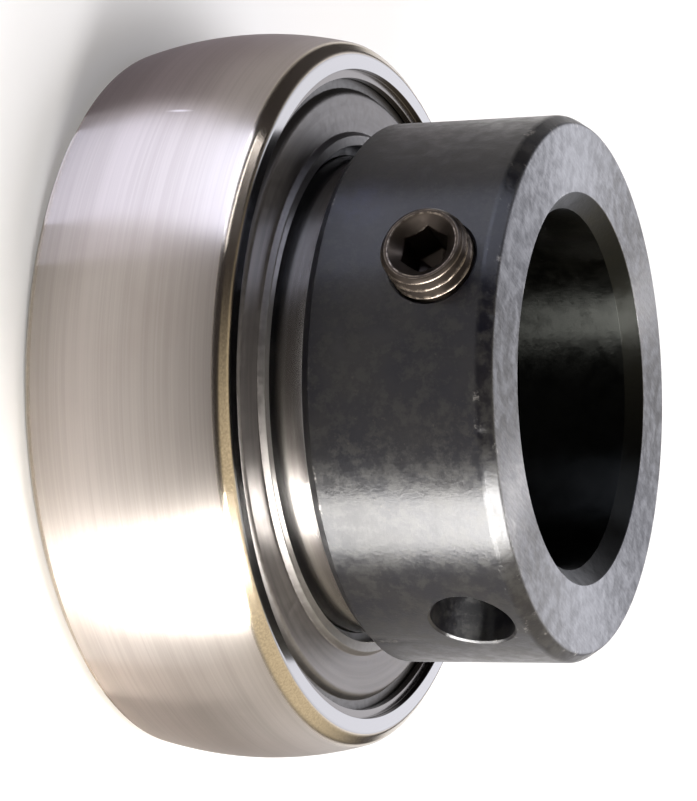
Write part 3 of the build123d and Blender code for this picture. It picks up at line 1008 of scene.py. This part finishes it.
# Lamps: azimuth, height, distance, (width, height), radiance, colour and the surfaces that they light
softboxes = {
    "near_softbox": (-13, 0.05, 0.09, (0.043, 0.1), 50.0, (1.0, 0.985, 0.96), "gloss"),
    "low_softbox": (-10, 0.22, 0.5, (0.12, 0.12), 55.0, (1.0, 0.99, 0.97), "matt"),
    "side_softbox": (-131, 0.09, 0.4, (0.28, 0.2), 5.5, (0.72, 0.78, 1.0), "gloss"),
    "high_softbox": (-145, 0.4, 0.38, (0.4, 0.035), 9.0, (0.88, 0.9, 1.0), "gloss"),
    "key_softbox": (65, 0.5, 0.2, (0.3, 0.3), 8.0, (0.88, 0.9, 1.0), "matt"),
}


def direction(azimuth, elevation):
    """The direction at an azimuth and an elevation in degrees."""
    a, e = math.radians(azimuth), math.radians(elevation)
    return Vector((math.cos(e) * math.cos(a), math.cos(e) * math.sin(a), math.sin(e)))


def photographers_camera():
    """The camera looks down at the aim point, turned about its own line of sight by camera_turn."""
    back = direction(camera_azimuth, camera_elevation)
    level = direction(camera_azimuth + 90, 0)
    above = back.cross(level)
    turn = math.radians(camera_turn)
    right = level * math.cos(turn) + above * math.sin(turn)
    lens = bpy.data.cameras.new("camera")
    lens.lens = camera_lens
    lens.clip_start = 10 * MM
    camera = bpy.data.objects.new("camera", lens)
    axes = Matrix((right, back.cross(right), back)).transposed().to_4x4()
    camera.matrix_world = Matrix.Translation(camera_aim + back * camera_distance) @ axes
    bpy.context.scene.collection.objects.link(camera)
    bpy.context.scene.camera = camera


def softbox(name, azimuth, height, distance, size, radiance, colour, lights):
    """A square lamp at that height, turned towards the middle of the bearing, with size its width and
    height. Its power is radiance times pi times its area. The camera sees past it. It lights only
    gloss, as of metal, or only what is matt."""
    lamp = bpy.data.lights.new(name, "AREA")
    lamp.shape = "RECTANGLE"
    lamp.size, lamp.size_y = size
    lamp.energy = radiance * math.pi * size[0] * size[1]
    lamp.color = colour
    box = bpy.data.objects.new(name, lamp)
    box.visible_camera = False
    box.visible_glossy = lights == "gloss"
    box.visible_diffuse = lights == "matt"
    stand = direction(azimuth, 0) * distance + Vector((0, 0, height))
    away = stand - Vector((0, 0, collar_front / 2))
    box.matrix_world = Matrix.Translation(stand) @ away.to_track_quat("Z", "Y").to_matrix().to_4x4()
    bpy.context.scene.collection.objects.link(box)


def studio_world():
    """A dim room with a pale wall behind the bearing and a warm ceiling over it. The camera sees
    white."""
    world = bpy.data.worlds.new("studio")
    world.use_nodes = True
    world.node_tree.nodes.clear()
    tree = Nodes(world.node_tree)
    way = tree.node("ShaderNodeTexCoord").outputs["Generated"]

    def patch_of_light(under, azimuth, elevation, edge, full, colour):
        """The colour under it, with a patch of light round a direction, which fades between two
        cosines."""
        toward = tree.vector("DOT_PRODUCT", way, direction(azimuth, elevation))
        return tree.blend(tree.between(toward, edge, full), under, colour)

    dim, warm, pale = (0.055, 0.05, 0.053), (1.2, 1.07, 0.82), (2.4, 2.42, 2.62)
    ceiling = patch_of_light(dim, camera_azimuth + 115, 52, edge=0.5, full=0.92, colour=warm)
    wall = patch_of_light(ceiling, camera_azimuth + 180, 26, edge=0.88, full=0.985, colour=pale)
    lit = tree.node("ShaderNodeBackground", {"Color": wall})
    seen = tree.node("ShaderNodeBackground", {"Color": (1, 1, 1, 1)})
    to_the_camera = tree.node("ShaderNodeLightPath").outputs["Is Camera Ray"]
    choice = tree.node("ShaderNodeMixShader", {0: to_the_camera, 1: lit.outputs[0], 2: seen.outputs[0]})
    tree.node("ShaderNodeOutputWorld", {"Surface": choice.outputs[0]})
    bpy.context.scene.world = world


def stage_sheet(name, corners, finish):
    """A flat sheet of the stage with those corners."""
    mesh = bpy.data.meshes.new(name)
    mesh.from_pydata(corners, [], [range(len(corners))])
    mesh.materials.append(finish.material)
    sheet = bpy.data.objects.new(name, mesh)
    bpy.context.scene.collection.objects.link(sheet)
    return sheet


def studio_floor():
    """The pale floor that the bearing stands on. Part of it glows for what the camera sees, directly
    or in the metal, so that it shows white and keeps the bearing's shadow."""
    no_gloss = {"Specular IOR Level": 0.0}
    finish = Finish("floor", (0.86, 0.85, 0.85), metallic=0.0, roughness=1.0, settings=no_gloss)
    path = finish.node("ShaderNodeLightPath")
    seen = finish.sum("ADD", path.outputs["Is Camera Ray"], path.outputs["Is Glossy Ray"])
    seen = finish.sum("MINIMUM", finish.sum("ADD", seen, path.outputs["Is Transmission Ray"]), 1.0)
    glow = finish.node("ShaderNodeEmission", {"Color": (1, 1, 1, 1), "Strength": 1.0})
    inputs = {0: finish.sum("MULTIPLY", seen, floor_glow), 1: finish.shader.outputs[0], 2: glow.outputs[0]}
    mixed = finish.node("ShaderNodeMixShader", inputs)
    finish.links.new(mixed.outputs[0], finish.nodes["Material Output"].inputs["Surface"])
    half = floor_half
    stage_sheet("floor", [(-half, -half, 0), (half, -half, 0), (half, half, 0), (-half, half, 0)], finish)


def lay_painted_reflection(name, corners, colour, glow):
    """A painted reflection: a card that lies beside the bearing and that only its metal mirrors. A dim card
    paints shade there, and a glowing one paints light.
    """
    glowing = {"Specular IOR Level": 0.0, "Emission Color": colour, "Emission Strength": glow}
    finish = Finish(name, colour, metallic=0.0, roughness=1.0, settings=glowing)
    places = [round_the_axis(azimuth, distance * MM, card_lift) for azimuth, distance in corners]
    card = stage_sheet(name, places, finish)
    card.visible_camera = card.visible_shadow = card.visible_diffuse = False


photographers_camera()
studio_world()
studio_floor()
# Painted reflections of shade and light, which only the metal mirrors
for name, card in painted_reflection_cards.items():
    lay_painted_reflection(name, *card)
for name, lamp in softboxes.items():
    softbox(name, *lamp)

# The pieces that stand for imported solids
sheet, rubber = shield_steel(), seal_rubber()
turned_piece("outer_ring", ring_steel(), "outer", "ring_steel", outer_ring_outline())
turned_piece("inner_ring", race_steel(), "inner", "race_steel", *inner_ring_outline())
turned_piece("seal_front_shield", sheet, "outer", "shield_steel", shield_outline())
turned_piece("seal_back_shield", sheet, "outer", "shield_steel", flipped(*shield_outline()))
turned_piece("seal_front_lip", rubber, "outer", "seal_rubber", lip_outline())
turned_piece("seal_back_lip", rubber, "outer", "seal_rubber", flipped(*lip_outline()))
locking_collar(collar_oxide())
set_screw(screw_oxide())

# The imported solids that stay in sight
balls, cage, rivets = ball_steel(), cage_steel(), rivet_steel()
finishes = {f"ball_{number}": balls for number in range(1, 10)}
finishes |= {"cage_front": cage, "cage_back": cage, "cage_rivets": rivets}
for name, material in finishes.items():
    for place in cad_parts[name].material_slots:
        place.material = material

bpy.context.scene.view_settings.view_transform = "Standard"
